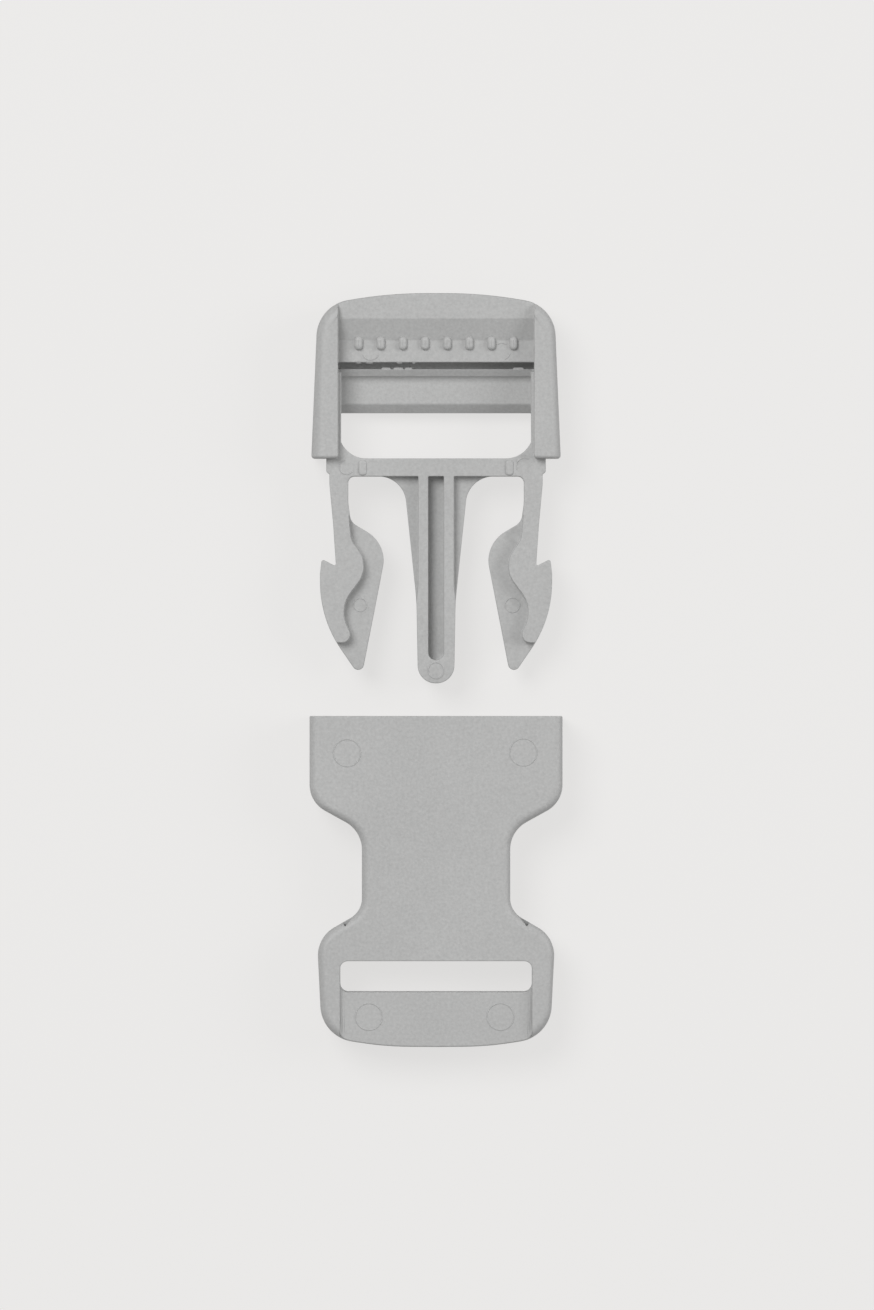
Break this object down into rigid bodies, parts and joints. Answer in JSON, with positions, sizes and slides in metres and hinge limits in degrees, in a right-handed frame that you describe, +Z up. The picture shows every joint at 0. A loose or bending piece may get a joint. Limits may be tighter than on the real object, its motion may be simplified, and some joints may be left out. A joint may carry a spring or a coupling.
{
  "type": "side-release buckle",
  "caption": "Side-release buckle for 25 mm webbing, unfastened: a flat hollow socket with a strap slot, and a latch half with sprung barbed arms, a guide prong and a strap adjuster.",
  "frame": {"origin": "on the table, under the middle of the box round both halves as they lie", "axes": "+X to the right in the picture, +Y along the buckle from the socket towards the latch half, +Z up to the camera"},
  "size_m": [0.034, 0.1016, 0.008],
  "materials": {
    "moulded_plastic": "light grey, fine spark-eroded mould texture"
  },
  "bodies": {
    "socket": {"socket_body": "moulded_plastic"},
    "latch": {"latch_frame": "moulded_plastic"},
    "left_arm": {"left_arm": "moulded_plastic"},
    "right_arm": {"right_arm": "moulded_plastic"}
  },
  "joints": [
    {"name": "latch_slide", "type": "slide", "parent": "socket", "child": "latch", "axis": [0, -1, 0], "range_m": [0, 0.0347], "deforming": ["left_arm", "right_arm"]},
    {"name": "left_arm_flex", "type": "hinge", "parent": "latch", "child": "left_arm", "pos_m": [-0.01312, 0.02489, 0.004], "axis": [0, 0, 1], "range_deg": [0, 10], "stiffness_Nm_per_rad": 1},
    {"name": "right_arm_flex", "type": "hinge", "parent": "latch", "child": "right_arm", "pos_m": [0.01312, 0.02489, 0.004], "axis": [0, 0, -1], "range_deg": [0, 10], "stiffness_Nm_per_rad": 1}
  ]
}
